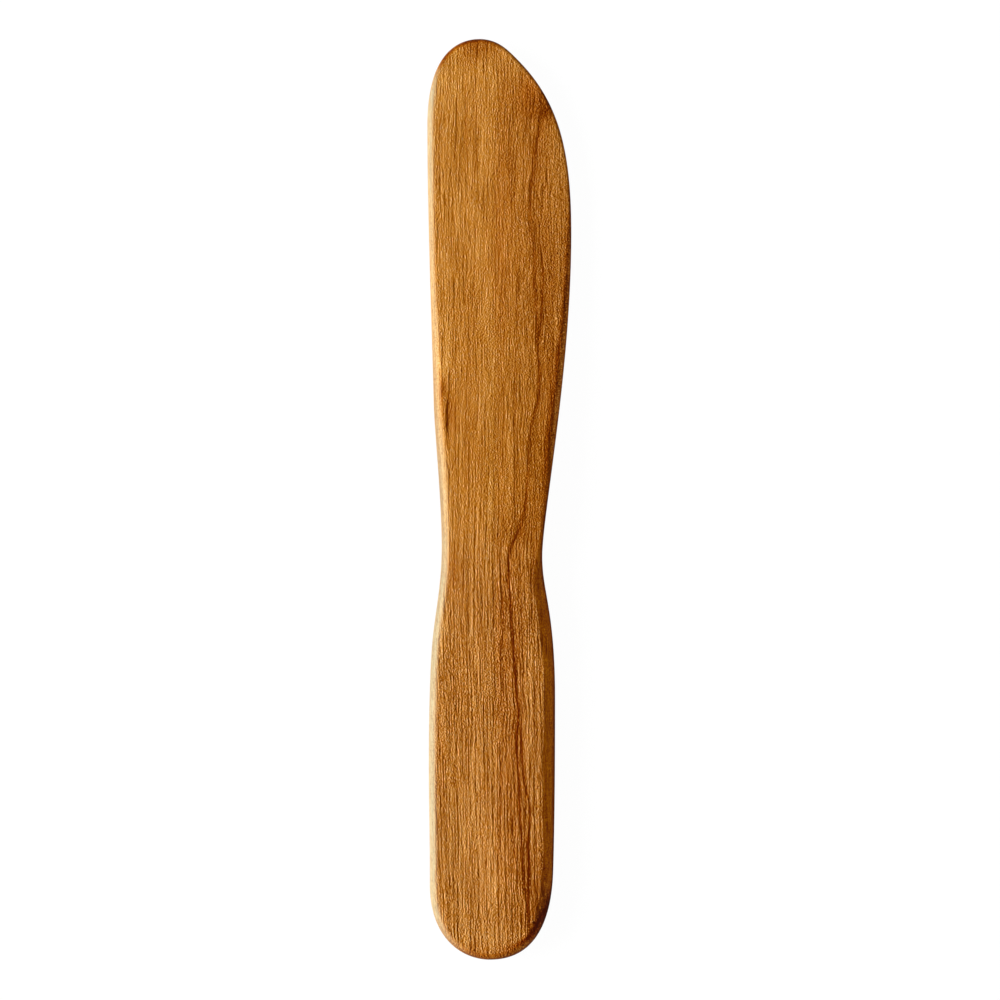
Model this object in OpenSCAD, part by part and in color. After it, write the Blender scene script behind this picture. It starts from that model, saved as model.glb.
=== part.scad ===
// Butter knife with a broad rounded blade, carved from one plank of oiled wood.
// It lies flat: the tip points along +Y, the spreading edge faces +X, the middle
// of its length is at Y = 0 and the underside rests on the plane Z = 0.

/* [Knife] */
// Length from the end of the handle to the tip of the blade
knife_l = 175; // [140:1:210]
// Thickness of the plank, kept by the flat faces of the handle
plank_t = 7; // [5.5:0.1:9]

/* [Blade] */
// Greatest width of the blade
blade_w = 27.4; // [24:0.1:32]
// Thickness of the blade at its tip
tip_t = 3; // [2.4:0.1:5]
// Thickness of the blade at the fullest point of its spreading edge
lip_t = 1.8; // [1.4:0.1:3]

/* [Handle] */
// Greatest width of the handle
handle_w = 24; // [18:0.1:28]
// Width of the neck between handle and blade
neck_w = 19.1; // [14:0.1:22]
// How far the middle of the handle lies from the middle of the blade, toward the spine
handle_shift = 1.4; // [0:0.05:3]

/* [Eased edges] */
// Width of the rounding round the end of the handle
butt_round = 1.2; // [0.8:0.1:2.2]
// Width of the rounding along the spine side of the handle
grip_round = 1.2; // [0.8:0.1:2.4]
// Width of the bevel along the belly side of the handle
grip_bevel = 2.2; // [0.8:0.1:2.6]
// Width of the rounding along the spine side of the neck
neck_round = 1.7; // [0.8:0.1:2.4]
// Width of the rounding along the root of the blade, next to the neck
root_round = 1.3; // [0.6:0.1:2]
// Width of the rounding along the spine of the blade
spine_round = 1; // [0.5:0.1:1.6]
// Width of the rounding along the spreading edge
lip_round = 0.5; // [0.3:0.1:0.6]
// Width of the rounding at the tip
tip_round = 0.8; // [0.4:0.1:1.1]

/* [Carving] */
// How far the carved skin stands above the plank before its two faces are planed off
skin_rise = 0.22; // [0.15:0.01:0.4]
// How far the carved skin lies below the planed faces where it meets the eased edges
skin_dip = 0.06; // [0.03:0.01:0.1]
// Width of the strip over which the carved skin rises from the one to the other
skin_strip = 0.8; // [0.6:0.1:1.2]

/* [Hidden] */

half_t = plank_t / 2;
blade_half = blade_w / 2;
handle_half = handle_w / 2;
neck_half = neck_w / 2;

// The outline is two runs of smooth curves, both from the end of the handle to
// the tip. Each row is a station: its place along the knife as a share of
// knife_l, its place across as a length from the middle of the blade, the
// direction in which the outline passes it, in degrees, and the reach of the
// curve before it and after it as shares of knife_l. The last entry is the
// number of short straight steps to the next station.

butt_across = -0.029 * handle_half - handle_shift;
tip_across = -0.277 * blade_half;

belly_shares = [
    [0, butt_across, 0, 0, 0.0420, 14],
    [0.096, 0.970 * handle_half - handle_shift, 88.2, 0.0655, 0.0514, 7],
    [0.283, handle_half - handle_shift, 90, 0.0686, 0.0970, 10],
    [0.438, neck_half - handle_shift, 90, 0.0400, 0.0440, 16],
    [0.789, blade_half, 90, 0.1500, 0.0886, 14],
    [0.976, 0.273 * blade_half, 134.4, 0.0630, 0.0160, 7],
    [1, tip_across, 180, 0.0206, 0, 0]
];

spine_shares = [
    [0, butt_across, 180, 0, 0.0285, 14],
    [0.083, -0.984 * handle_half - handle_shift, 89.7, 0.0620, 0.0457, 5],
    [0.214, -handle_half - handle_shift, 90, 0.0457, 0.0343, 6],
    [0.343, -0.946 * handle_half - handle_shift, 85, 0.0343, 0.0343, 7],
    [0.449, -neck_half - handle_shift, 90, 0.0440, 0.0500, 10],
    [0.605, -0.911 * blade_half, 91.2, 0.0300, 0.0600, 12],
    [0.906, -blade_half, 90, 0.1000, 0.0755, 14],
    [1, tip_across, 0, 0.0255, 0, 0]
];

// The eased edge along each run: share of knife_l, and its width there
belly_ease_shares = [
    [0, butt_round], [0.05, grip_bevel], [0.39, grip_bevel], [0.42, 0.75 * grip_bevel],
    [0.45, 0.45 * neck_round], [0.51, 0.4 * neck_round], [0.57, root_round],
    [0.62, root_round], [0.74, 0.8 * root_round], [0.80, lip_round], [0.96, lip_round],
    [1, tip_round]
];
spine_ease_shares = [
    [0, butt_round], [0.05, grip_round], [0.39, grip_round], [0.53, neck_round],
    [0.60, neck_round], [0.70, root_round], [0.78, spine_round], [0.92, spine_round],
    [0.96, 0.6 * tip_round], [1, tip_round]
];
// How flat it is cut, from 0 for a quarter round to 1 for a straight bevel
belly_flat_shares = [
    [0, 0.3], [0.05, 0.8], [0.40, 0.8], [0.45, 0.3], [0.60, 0.4], [0.76, 0.5], [1, 0.3]
];
spine_flat_shares = [[0, 0.3], [0.07, 0.45], [0.93, 0.45], [1, 0.3]];

// Thinning of the blade toward its tip: where it starts, as a share of knife_l,
// and the share of its length over which the slope sets in
thin_start_share = 0.53;
thin_onset_share = 0.3;

// Hollow toward the spreading edge: where it starts across the blade, as a share
// of half the blade width, and where it fades in along the knife
hollow_start_share = -0.3;
hollow_from_share = 0.46;
hollow_full_share = 0.72;

// Where the skin's rise over the handle starts to fade and is gone
rise_from_share = 0.42;
rise_gone_share = 0.72;
// Greatest depth of an eased edge, as a share of half the thickness there
ease_depth_share = 0.6;

// Number of strips across a face, and of bands round an eased edge
strips = 10;
bands = 5;

function unit(a) = [cos(a), sin(a)];

// Point and direction on the curve from station a to station b
function curve_point(a, b, t) =
    let (s = 1 - t,
         p = [a[1], a[0] * knife_l], q = p + a[4] * knife_l * unit(a[2]),
         r = [b[1], b[0] * knife_l], m = r - b[3] * knife_l * unit(b[2]))
    [s*s*s*p + 3*s*s*t*q + 3*s*t*t*m + t*t*t*r,
     s*s*(q - p) + 2*s*t*(m - q) + t*t*(r - m)];

// Points of one run, each with the unit direction that points into the wood
function run_points(run, side) = [
    for (i = [0:len(run) - 2], j = [0:run[i][5] - 1])
        let (c = curve_point(run[i], run[i + 1], j / run[i][5]), d = c[1] / norm(c[1]))
        [c[0], side * [-d[1], d[0]]],
    [[run[len(run) - 1][1], knife_l], [0, -1]]
];

belly_points = run_points(belly_shares, 1);
spine_points = run_points(spine_shares, -1);
rungs = len(belly_points) - 1;

// Closed outline: up the belly side to the tip and down the spine to the butt, each
// row a point, its inward direction, and the width and flatness of its eased edge
outline = concat(
    [for (p = belly_points) let (y = p[0][1] / knife_l)
        [p[0], p[1], lookup(y, belly_ease_shares), lookup(y, belly_flat_shares)]],
    [for (i = [rungs - 1:-1:1]) let (p = spine_points[i], y = p[0][1] / knife_l)
        [p[0], p[1], lookup(y, spine_ease_shares), lookup(y, spine_flat_shares)]]
);
count = len(outline);

function clamp(v) = max(0, min(1, v));
function smooth(v) = let (c = clamp(v)) c * c * (3 - 2 * c);
// A slope that sets in gently and then runs straight, from 0 to 1
function onset(v) =
    v < thin_onset_share
        ? v * v / (2 * thin_onset_share * (1 - thin_onset_share / 2))
        : (v - thin_onset_share / 2) / (1 - thin_onset_share / 2);

thin_depth = (plank_t - tip_t) / 2;
function thinning(y) =
    thin_depth * onset(clamp((y / knife_l - thin_start_share) / (1 - thin_start_share)));

belly_y = belly_shares[4][0] * knife_l;
hollow_depth = max(0, half_t - thinning(belly_y) - lip_t / 2);
function hollow(p) =
    let (across = clamp((p[0] / blade_half - hollow_start_share) / (1 - hollow_start_share)),
         along = smooth((p[1] / knife_l - hollow_from_share)
                        / (hollow_full_share - hollow_from_share)))
    hollow_depth * along * across * across;

// Half the thickness of the carved knife at a point of its outline plan
function deck(p) = half_t - skin_dip - thinning(p[1]) - hollow(p);
// The rise of the skin over the handle, fading out where the blade starts to thin
function rise(p) =
    (skin_rise + skin_dip)
        * (1 - smooth((p[1] / knife_l - rise_from_share) / (rise_gone_share - rise_from_share)));

// One ring of points: inset into the wood, and lowered from the deck. The first ring
// lies inside the eased edge, the others go round it from the face to the side.
function ring(step) = [
    for (o = outline)
        let (round_share = (step - 1) / bands, turn = 90 * round_share, flat_share = o[3],
             inset = step == 0 ? o[2] + skin_strip
                : o[2] * (1 - flat_share * round_share - (1 - flat_share) * sin(turn)),
             p = o[0] + inset * o[1],
             depth = min(o[2], ease_depth_share * deck(p)),
             drop = step == 0 ? -rise(p)
                : depth * (flat_share * round_share + (1 - flat_share) * (1 - cos(turn))))
        [p[0], p[1], deck(p) - drop]
];

rings = [for (s = [0:bands + 1]) ring(s)];
// Points across the faces, between the two sides of the innermost ring
deck_points = [
    for (j = [1:rungs - 1], i = [1:strips - 1])
        let (a = rings[0][j], b = rings[0][count - j], p = a + (b - a) * i / strips)
        [p[0], p[1], deck(p) + rise(p)]
];

function mirrored(points) = [for (p = points) [p[0], p[1], -p[2]]];

skin_points = concat(
    [for (r = rings) each r],
    [for (s = [bands + 1:-1:0]) each mirrored(rings[s])],
    deck_points,
    mirrored(deck_points)
);
ring_count = 2 * (bands + 2);

// Number of a point: n-th of a ring, or i-th across rung j of the upper or lower face
function at_ring(k, n) = k * count + n % count;
function at_face(lower, j, i) =
    i == 0 ? at_ring(lower ? ring_count - 1 : 0, j)
    : i == strips ? at_ring(lower ? ring_count - 1 : 0, count - j)
    : ring_count * count + (lower ? len(deck_points) : 0) + (j - 1) * (strips - 1) + i - 1;
function facing(lower, t) = lower ? [t[0], t[2], t[1]] : t;

edge_faces = [
    for (k = [0:ring_count - 2], n = [0:count - 1])
        let (a = at_ring(k, n), b = at_ring(k, n + 1),
             c = at_ring(k + 1, n + 1), d = at_ring(k + 1, n))
        each [[a, b, c], [a, c, d]]
];
deck_faces = [
    for (lower = [false, true], i = [0:strips - 1]) each concat(
        [facing(lower, [at_face(lower, 0, 0), at_face(lower, 1, i + 1), at_face(lower, 1, i)])],
        [for (j = [1:rungs - 2])
            let (a = at_face(lower, j, i), b = at_face(lower, j, i + 1),
                 c = at_face(lower, j + 1, i + 1), d = at_face(lower, j + 1, i))
            each [facing(lower, [a, b, c]), facing(lower, [a, c, d])]],
        [facing(lower, [at_face(lower, rungs - 1, i), at_face(lower, rungs - 1, i + 1),
                        at_face(lower, rungs, 0)])]
    )
];

module carved_skin() {
    translate([0, -knife_l / 2, half_t])
        polyhedron(points = skin_points, faces = concat(edge_faces, deck_faces), convexity = 4);
}

// The sawn plank, whose two planed faces stay on the handle and the neck
module plank() {
    translate([-blade_w, -knife_l, 0]) cube([2 * blade_w, 2 * knife_l, plank_t]);
}

module knife() {
    color([0.70, 0.46, 0.19])
        intersection() {
            carved_skin();
            plank();
        }
}

knife();
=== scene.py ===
import math

import bpy
import numpy as np
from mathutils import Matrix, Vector


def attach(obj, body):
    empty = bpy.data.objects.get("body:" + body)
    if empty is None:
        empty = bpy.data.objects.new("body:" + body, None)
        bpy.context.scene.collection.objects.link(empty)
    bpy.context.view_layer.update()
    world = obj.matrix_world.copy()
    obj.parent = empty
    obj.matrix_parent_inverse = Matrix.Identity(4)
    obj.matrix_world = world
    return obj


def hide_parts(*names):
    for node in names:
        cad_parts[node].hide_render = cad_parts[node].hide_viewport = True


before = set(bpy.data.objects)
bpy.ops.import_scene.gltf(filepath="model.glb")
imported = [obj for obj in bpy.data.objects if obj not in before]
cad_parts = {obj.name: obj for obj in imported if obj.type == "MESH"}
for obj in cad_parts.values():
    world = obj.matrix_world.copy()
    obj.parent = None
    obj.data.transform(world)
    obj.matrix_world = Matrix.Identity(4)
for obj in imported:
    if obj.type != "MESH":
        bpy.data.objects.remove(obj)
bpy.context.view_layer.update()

scene = bpy.context.scene

MM = 0.001

# The knife in millimetres, in the part's own frame: Y from butt to tip, X from the
# spine to the spreading edge, Z up from the plane it lies on.
LENGTH = 175.0
THICK = 7.0
BLADE_W = 27.4
TIP_T = 3.0
LIP_T = 1.8
HANDLE_W = 24.0
NECK_W = 19.1
HANDLE_SHIFT = 1.4
BUTT_ROUND = 1.2
GRIP_ROUND = 1.2
GRIP_BEVEL = 2.2
NECK_ROUND = 1.7
ROOT_ROUND = 1.3
SPINE_ROUND = 1.0
LIP_ROUND = 0.5
TIP_ROUND = 0.8
SKIN_DIP = 0.06

# The photograph's scale, for marks placed by pixel: millimetres per pixel, and the
# pixel at the middle of the knife
PER_PX = 0.19042
MID_PX = (499.35, 498.9)

half_t = THICK / 2
blade_half = BLADE_W / 2
handle_half = HANDLE_W / 2
neck_half = NECK_W / 2
butt_across = -0.029 * handle_half - HANDLE_SHIFT
tip_across = -0.277 * blade_half

FULLEST = 0.789  # where the spreading edge stands out farthest, as a share of the length

# Stations of the outline, as in the part: place along, place across, heading in
# degrees, reach before and after as shares of the length, and steps to the next one
BELLY = [
    (0, butt_across, 0, 0, 0.0420, 14),
    (0.096, 0.970 * handle_half - HANDLE_SHIFT, 88.2, 0.0655, 0.0514, 7),
    (0.283, handle_half - HANDLE_SHIFT, 90, 0.0686, 0.0970, 10),
    (0.438, neck_half - HANDLE_SHIFT, 90, 0.0400, 0.0440, 16),
    (FULLEST, blade_half, 90, 0.1500, 0.0886, 14),
    (0.976, 0.273 * blade_half, 134.4, 0.0630, 0.0160, 7),
    (1, tip_across, 180, 0.0206, 0, 0),
]
SPINE = [
    (0, butt_across, 180, 0, 0.0285, 14),
    (0.083, -0.984 * handle_half - HANDLE_SHIFT, 89.7, 0.0620, 0.0457, 5),
    (0.214, -handle_half - HANDLE_SHIFT, 90, 0.0457, 0.0343, 6),
    (0.343, -0.946 * handle_half - HANDLE_SHIFT, 85, 0.0343, 0.0343, 7),
    (0.449, -neck_half - HANDLE_SHIFT, 90, 0.0440, 0.0500, 10),
    (0.605, -0.911 * blade_half, 91.2, 0.0300, 0.0600, 12),
    (0.906, -blade_half, 90, 0.1000, 0.0755, 14),
    (1, tip_across, 0, 0.0255, 0, 0),
]

# Width of the eased edge along each side, and how straight its section is, from 0 for a
# round to 1 for a bevel
BELLY_EASE = [
    (0, BUTT_ROUND), (0.05, GRIP_BEVEL), (0.39, GRIP_BEVEL), (0.42, 0.75 * GRIP_BEVEL),
    (0.45, 0.45 * NECK_ROUND), (0.51, 0.4 * NECK_ROUND), (0.57, ROOT_ROUND), (0.62, ROOT_ROUND),
    (0.74, 0.8 * ROOT_ROUND), (0.80, LIP_ROUND), (0.96, LIP_ROUND), (1, TIP_ROUND),
]
SPINE_EASE = [
    (0, BUTT_ROUND), (0.05, GRIP_ROUND), (0.39, GRIP_ROUND), (0.53, NECK_ROUND),
    (0.60, NECK_ROUND), (0.70, ROOT_ROUND), (0.78, SPINE_ROUND), (0.92, SPINE_ROUND),
    (0.96, 0.6 * TIP_ROUND), (1, TIP_ROUND),
]
BELLY_FLAT = [(0, 0.3), (0.05, 0.8), (0.40, 0.8), (0.45, 0.3), (0.60, 0.4), (0.76, 0.5), (1, 0.3)]
SPINE_FLAT = [(0, 0.3), (0.07, 0.45), (0.93, 0.45), (1, 0.3)]
EASE_DEPTH = 0.6  # the deepest easing, as a share of half the thickness

# Waves in that width, since the edge is worked by hand: share of the width, turn per
# millimetre along the knife, and shift on the belly side
EASE_WAVES = [(0.05, 0.19, 1.3), (0.03, 0.53, 0.0)]

# Shares of the length at which the blade starts to thin, and the carved skin to dip and
# to hollow out, and how far across the blade the hollow starts
THIN_START, THIN_ONSET = 0.53, 0.3
DIP_START, DIP_RUN = 0.46, 0.2
HOLLOW_FROM, HOLLOW_FULL, HOLLOW_START = 0.46, 0.72, -0.3

# Waves that sanding by hand leaves on the faces: turn per millimetre along the knife and
# across it, shift, and height as a share of the depth
SANDING = [(0.11, 0.35, 0.6, 1.0), (0.23, -0.21, 2.1, 0.8), (0.047, 0.62, 4.0, 0.6)]
SANDING_DEPTH = 0.012

FINE = 8  # fine steps per step of the outline
STRIPS = 44  # strips across a face
TURNS = [0, 0.04, 0.14, 0.27, 0.4, 0.53, 0.66, 0.79, 0.9, 1]  # rings round an eased edge
SIDES = 6  # bands down the upright side
CLOSER = 0.6  # how much closer the strips of a face lie by its edges


def smooth(v):
    """A soft step from 0 to 1."""
    v = np.clip(v, 0, 1)
    return v * v * (3 - 2 * v)


def run_points(stations, side):
    """Points of one side from butt to tip, and the unit directions into the wood."""
    points, inward = [], []
    for near, far in zip(stations, stations[1:]):
        near_turn, far_turn = math.radians(near[2]), math.radians(far[2])
        start = np.array([near[1], near[0] * LENGTH])
        end = np.array([far[1], far[0] * LENGTH])
        leave = start + near[4] * LENGTH * np.array([math.cos(near_turn), math.sin(near_turn)])
        arrive = end - far[3] * LENGTH * np.array([math.cos(far_turn), math.sin(far_turn)])
        t = (np.arange(near[5] * FINE) / (near[5] * FINE))[:, None]
        s = 1 - t
        points.append(s**3 * start + 3 * s * s * t * leave + 3 * s * t * t * arrive + t**3 * end)
        ahead = s * s * (leave - start) + 2 * s * t * (arrive - leave) + t * t * (end - arrive)
        ahead /= np.linalg.norm(ahead, axis=1)[:, None]
        inward.append(side * np.stack([-ahead[:, 1], ahead[:, 0]], axis=1))
    points.append(np.array([[stations[-1][1], LENGTH]]))
    inward.append(np.array([[0.0, -1.0]]))
    return np.concatenate(points), np.concatenate(inward)


def table(at, rows):
    """Values between the rows of a table of places and values."""
    return np.interp(at, [r[0] for r in rows], [r[1] for r in rows])


def onset(v):
    """A straight slope from 0 to 1 that starts with a soft bend."""
    return np.where(
        v < THIN_ONSET,
        v * v / (2 * THIN_ONSET * (1 - THIN_ONSET / 2)),
        (v - THIN_ONSET / 2) / (1 - THIN_ONSET / 2),
    )


def thinning(y):
    """What the blade's taper takes off one face."""
    return (THICK - TIP_T) / 2 * onset(np.clip((y / LENGTH - THIN_START) / (1 - THIN_START), 0, 1))


def deck(x, y):
    """Half the thickness of the knife at a place on its plan."""
    depth = half_t - thinning(FULLEST * LENGTH) - LIP_T / 2
    across = np.clip((x / blade_half - HOLLOW_START) / (1 - HOLLOW_START), 0, 1)
    along = smooth((y / LENGTH - HOLLOW_FROM) / (HOLLOW_FULL - HOLLOW_FROM))
    dip = SKIN_DIP * smooth((y / LENGTH - DIP_START) / DIP_RUN)
    return half_t - dip - thinning(y) - depth * along * across**2


def hand_sanded(x, y):
    """Shallow unevenness of the faces, as depth taken off."""
    wave = sum(height * np.sin(along * y + across * x + shift) for along, across, shift, height in SANDING)
    return SANDING_DEPTH * (sum(row[3] for row in SANDING) + wave)


# The outline, as one loop from the butt up the belly side and back down the spine side. A
# rung joins the points of the two sides with the same number.
belly, belly_in = run_points(BELLY, 1)
spine, spine_in = run_points(SPINE, -1)
rungs = len(belly) - 1
outline = np.concatenate([belly, spine[rungs - 1 : 0 : -1]])
inward = np.concatenate([belly_in, spine_in[rungs - 1 : 0 : -1]])
count = len(outline)
on_belly = np.arange(count) <= rungs
share = outline[:, 1] / LENGTH
ease = np.where(on_belly, table(share, BELLY_EASE), table(share, SPINE_EASE))
flat = np.where(on_belly, table(share, BELLY_FLAT), table(share, SPINE_FLAT))
ease *= 1 + sum(size * np.sin(turn * outline[:, 1] + shift * on_belly) for size, turn, shift in EASE_WAVES)

# Rings of points round the knife: over the eased edge, down the upright side to half the
# thickness, and the same mirrored below
rings = []  # each a (count, 3) array from the upper face down to the lower one
spread = []  # how far each ring lies from the face, measured over the surface
reach = np.zeros(count)
last = None
for s in TURNS:
    turn = math.radians(90 * s)
    drawn_in = ease * (1 - flat * s - (1 - flat) * math.sin(turn))
    place = outline + drawn_in[:, None] * inward
    x, y = place[:, 0], place[:, 1]
    depth = np.minimum(ease, EASE_DEPTH * deck(x, y))
    fallen = depth * (flat * s + (1 - flat) * (1 - math.cos(turn)))
    ring = np.column_stack([place, deck(x, y) - hand_sanded(x, y) - fallen])
    if last is not None:
        reach = reach + np.linalg.norm(ring - last, axis=1)
    rings.append(ring)
    spread.append(reach)
    last = ring
for step in range(1, SIDES // 2 + 1):
    ring = rings[len(TURNS) - 1].copy()
    ring[:, 2] *= 1 - step / (SIDES // 2)
    reach = reach + np.linalg.norm(ring - last, axis=1)
    rings.append(ring)
    spread.append(reach)
    last = ring
upper = len(rings) - 1  # the ring at half thickness
for k in range(upper - 1, -1, -1):
    rings.append(rings[k] * [1, 1, -1])
    spread.append(2 * spread[upper] - spread[k])
ring_count = len(rings)

# Points of the two faces, on the rungs between the first ring's sides
fractions = np.arange(1, STRIPS) / STRIPS
fractions = fractions - CLOSER * np.sin(2 * math.pi * fractions) / (2 * math.pi)
belly_rim = rings[0][1:rungs, None, :2]
spine_rim = rings[0][count - 1 : count - rungs : -1, None, :2]
plan = belly_rim + (spine_rim - belly_rim) * fractions[None, :, None]
px, py = plan[..., 0], plan[..., 1]
pz = deck(px, py) - hand_sanded(px, py)
face_top = np.stack([px, py, pz], axis=-1).reshape(-1, 3)
points = np.concatenate(rings + [face_top, face_top * [1, 1, -1]])


def at_ring(k, n):
    """Number of a point on a ring."""
    return k * count + n % count


def at_face(lower, j, i):
    """Number of a point on a face: its rung from butt to tip, and its strip from belly to spine."""
    if i == 0 or j == 0 or j == rungs:
        return at_ring(ring_count - 1 if lower else 0, j)
    if i == STRIPS:
        return at_ring(ring_count - 1 if lower else 0, count - j)
    return ring_count * count + lower * len(face_top) + (j - 1) * (STRIPS - 1) + i - 1


# The sides between the rings, then the two faces, whose strips meet at the butt and the tip
faces = []
for k in range(ring_count - 1):
    for n in range(count):
        faces.append((at_ring(k, n), at_ring(k + 1, n), at_ring(k + 1, n + 1), at_ring(k, n + 1)))
side_faces = len(faces)
for lower in (0, 1):
    for j in range(rungs):
        for i in range(STRIPS):
            if j == 0:
                corners = [at_face(lower, 0, 0), at_face(lower, 1, i), at_face(lower, 1, i + 1)]
            elif j == rungs - 1:
                corners = [at_face(lower, j, i), at_face(lower, rungs, 0), at_face(lower, j, i + 1)]
            else:
                corners = [at_face(lower, j, i), at_face(lower, j + 1, i),
                           at_face(lower, j + 1, i + 1), at_face(lower, j, i + 1)]
            faces.append(tuple(corners[::-1] if lower else corners))

mesh = bpy.data.meshes.new("wooden_knife")
placed = (points + [0, -LENGTH / 2, half_t]) * MM
mesh.from_pydata(placed.tolist(), [], faces)
mesh.polygons.foreach_set("use_smooth", [True] * len(mesh.polygons))
knife = bpy.data.objects.new("wooden_knife", mesh)
scene.collection.objects.link(knife)

# Map of the surface: the upper half on the left, the lower half on the right, each laid
# out as if its sides were folded flat, with a narrow free border round it
BORDER_X, BORDER_Y = 0.006, 0.004
unrolled = np.zeros((len(points), 2))
for k in range(ring_count):
    lower = k > upper
    over = spread[k] if not lower else 2 * spread[upper] - spread[k]
    unrolled[k * count : (k + 1) * count] = rings[0][:, :2] - inward * over[:, None]
unrolled[ring_count * count :] = np.concatenate([face_top, face_top])[:, :2]
low, high = unrolled.min(axis=0), unrolled.max(axis=0)
flat_uv = (unrolled - low) / (high - low)
flat_uv[:, 0] = BORDER_X + flat_uv[:, 0] * (0.5 - 2 * BORDER_X)
flat_uv[:, 1] = BORDER_Y + flat_uv[:, 1] * (1 - 2 * BORDER_Y)
uv_layer = mesh.uv_layers.new(name="OFBake")
loop_vertex = np.zeros(len(mesh.loops), dtype=np.int64)
mesh.loops.foreach_get("vertex_index", loop_vertex)
loop_total = np.zeros(len(mesh.polygons), dtype=np.int64)
mesh.polygons.foreach_get("loop_total", loop_total)
face_of_loop = np.repeat(np.arange(len(mesh.polygons)), loop_total)
lower_face = np.zeros(len(mesh.polygons), dtype=bool)
lower_face[upper * count : side_faces] = True
lower_face[side_faces + rungs * STRIPS :] = True
uvs = flat_uv[loop_vertex] + np.where(lower_face[face_of_loop], 0.5, 0.0)[:, None] * [1, 0]
uv_layer.data.foreach_set("uv", uvs.astype(np.float32).ravel())

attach(knife, "root")
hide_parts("knife")

# Dark lines: marks of the grain, a line beside the spreading edge, a check, and painted shade in
# the corner of the handle's end. Each path says where one runs, in pixels of the photograph's
# 1000 x 1000 frame. Most places and strengths in STREAK, STRAND, LEFT_LINE and FAR_LINE follow
# dips of brightness measured on the photograph every 12 rows. The short lines near the blade's
# end and the other paths were set from enlarged views of it, partly with measured rows beside them.
PATH_END, PATH_STEP = 92, 0.1  # how far the paths are worked out from the middle, and how finely


def from_px(x, y):
    """A pixel's place across and along the knife, in millimetres."""
    return (x - MID_PX[0]) * PER_PX, (MID_PX[1] - y) * PER_PX


def path(rows, y, sigma=0.8):
    """A path's other columns at places along the knife, smoothed over sigma millimetres."""
    rows = sorted(rows, key=lambda r: -r[1])
    along = np.array([from_px(0, r[1])[1] for r in rows])
    grid = np.arange(-PATH_END, PATH_END, PATH_STEP)
    steps = round(4 * sigma / PATH_STEP)
    weights = np.exp(-0.5 * (np.arange(-steps, steps + 1) * PATH_STEP / sigma) ** 2)
    weights /= weights.sum()
    made = []
    for column in range(len(rows[0])):
        if column == 1:
            continue
        values = [from_px(r[0], 0)[0] if column == 0 else r[column] for r in rows]
        fine = np.interp(grid, along, values)
        padded = np.pad(fine, steps, mode="edge")
        made.append(np.interp(y, grid, np.convolve(padded, weights, mode="valid")))
    return made


# The dark streak: x, y, half its width in pixels, strength
STREAK = [
    (550, 98, 2.5, 0.1), (546.5, 108, 3.4, 0.3), (542, 114, 3.6, 0.16), (539.5, 122, 3.0, 0.12),
    (538, 130, 2.4, 0.3), (535, 142, 1.8, 0.35), (533, 154, 1.4, 0.35), (533.5, 166, 1.3, 0.4),
    (531, 178, 1.2, 0.35), (529, 190, 1.2, 0.35), (529, 202, 1.2, 0.3), (528.5, 214, 1.1, 0.25),
    (530, 226, 1.1, 0.25), (531.5, 238, 1.1, 0.25), (533, 250, 1.2, 0.3), (534, 262, 1.2, 0.35),
    (533.2, 274, 1.3, 0.4), (533.2, 286, 1.3, 0.45), (534.5, 298, 1.2, 0.4), (535, 306, 1.2, 0.4),
    (536, 318, 1.2, 0.35), (536, 330, 1.3, 0.5), (536.4, 342, 1.2, 0.4), (537, 354, 1.2, 0.4),
    (538.8, 366, 1.2, 0.45), (539, 378, 1.2, 0.45), (538.6, 390, 1.3, 0.5), (537.6, 402, 1.3, 0.5),
    (534.5, 414, 1.2, 0.4), (530.6, 426, 1.2, 0.5), (529.2, 438, 1.1, 0.4), (529, 450, 1.0, 0.35),
    (528, 462, 1.0, 0.35), (528, 474, 1.0, 0.45), (527, 486, 1.0, 0.5), (526, 498, 1.0, 0.5),
    (525, 510, 1.1, 0.6), (521.5, 522, 1.2, 0.5), (517, 534, 1.3, 0.5), (511, 545, 1.1, 0.5),
    (508, 556, 0.9, 0.6), (508, 570, 0.9, 0.75), (508.4, 582, 0.9, 0.7), (509.4, 592, 0.9, 0.6),
    (510.8, 602, 0.9, 0.6), (510.4, 614, 0.9, 0.55), (511.3, 626, 0.9, 0.5), (513, 636, 0.9, 0.65),
    (513.2, 648, 0.9, 0.75), (514.2, 660, 0.9, 0.65), (515, 672, 1.0, 0.8), (515.3, 684, 1.0, 0.9),
    (516.5, 696, 0.9, 0.6), (518.6, 708, 0.9, 0.9), (517.8, 720, 0.9, 0.6), (516.4, 732, 0.9, 0.9),
    (516.3, 744, 0.9, 1.0), (517, 756, 0.9, 0.8), (518, 768, 0.9, 0.55), (519, 780, 0.9, 0.75),
    (519, 792, 0.9, 0.9), (519.2, 804, 0.8, 0.6), (520, 816, 0.8, 0.75), (521, 828, 0.8, 0.8),
    (521.3, 840, 0.8, 0.7), (522, 852, 0.8, 0.65), (522.4, 864, 0.9, 0.9), (523, 876, 0.8, 0.55),
    (524, 888, 0.8, 0.5), (526, 900, 0.8, 0.0),
]

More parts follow.
